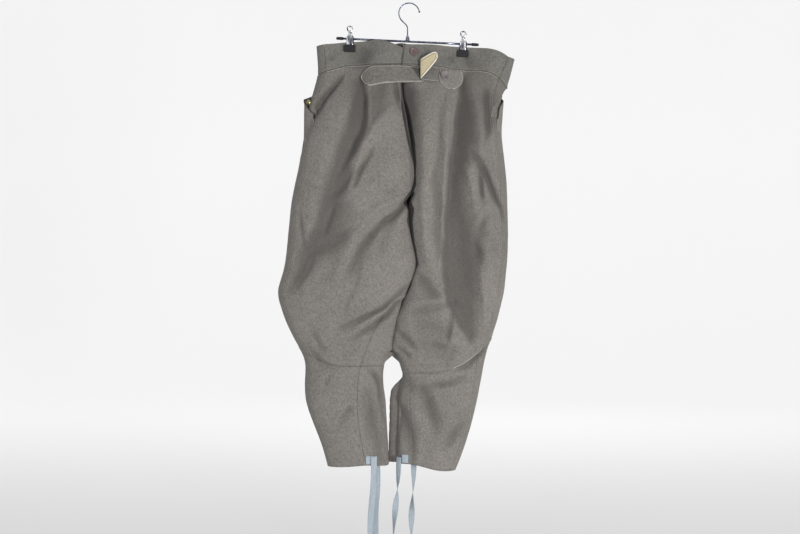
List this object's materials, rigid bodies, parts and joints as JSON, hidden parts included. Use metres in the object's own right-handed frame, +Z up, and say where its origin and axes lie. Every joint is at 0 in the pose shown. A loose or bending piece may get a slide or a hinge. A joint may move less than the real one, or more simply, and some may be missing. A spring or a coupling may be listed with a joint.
{
  "type": "uniform trousers on a clip hanger",
  "caption": "Full wool uniform breeches with narrow lower legs, a back cinch strap and tie tapes, hung by the waist from a clip hanger.",
  "frame": {"origin": "inside top of the hanger's hook, where it hangs on a peg", "axes": "+Z up, -Y out of the back of the garment, +X towards the wearer's right"},
  "size_m": [0.5487, 0.1056, 1.2712],
  "materials": {
    "wool": "matte, napped",
    "lining": "matte",
    "horn": "satin",
    "brass": "dull",
    "tape": "matte",
    "steel": "polished",
    "rubber": "matte"
  },
  "bodies": {
    "root": {"back_left": "wool", "back_right": "wool", "front_left": "wool", "front_right": "wool", "lower_back_left": "wool", "lower_back_right": "wool", "lower_front_left": "wool", "lower_front_right": "wool", "waistband_back_left": "wool", "waistband_back_right": "wool", "waistband_front_left": "wool", "waistband_front_right": "wool", "strap_base_left": "wool", "strap_base_right": "wool", "strap": "wool", "strap_tongue": "wool", "fly_flap": "wool", "pocket_edge_left": "wool", "pocket_edge_right": "wool", "pocket_facing_left": "wool", "pocket_facing_right": "wool", "tongue_lining": "lining", "button_waist_back": "horn", "button_strap": "horn", "button_waist_front": "horn", "button_pocket_left": "brass", "button_pocket_right": "brass", "tape_end_left": "tape", "tape_end_right": "tape", "tape_left_back": "tape", "tape_left_front": "tape", "tape_right_back": "tape", "tape_right_front": "tape", "hanger_bar": "steel", "hook": "steel", "hook_collar": "steel", "hook_ferrule": "steel", "clip_plate_near_left": "steel", "clip_plate_far_left": "steel", "clip_spring_left": "steel", "clip_plate_near_right": "steel", "clip_plate_far_right": "steel", "clip_spring_right": "steel", "bar_cap_left": "rubber", "bar_cap_right": "rubber", "hook_tip": "rubber", "clip_pad_near_left": "rubber", "clip_pad_far_left": "rubber", "clip_pad_near_right": "rubber", "clip_pad_far_right": "rubber"}
  },
  "joints": []
}
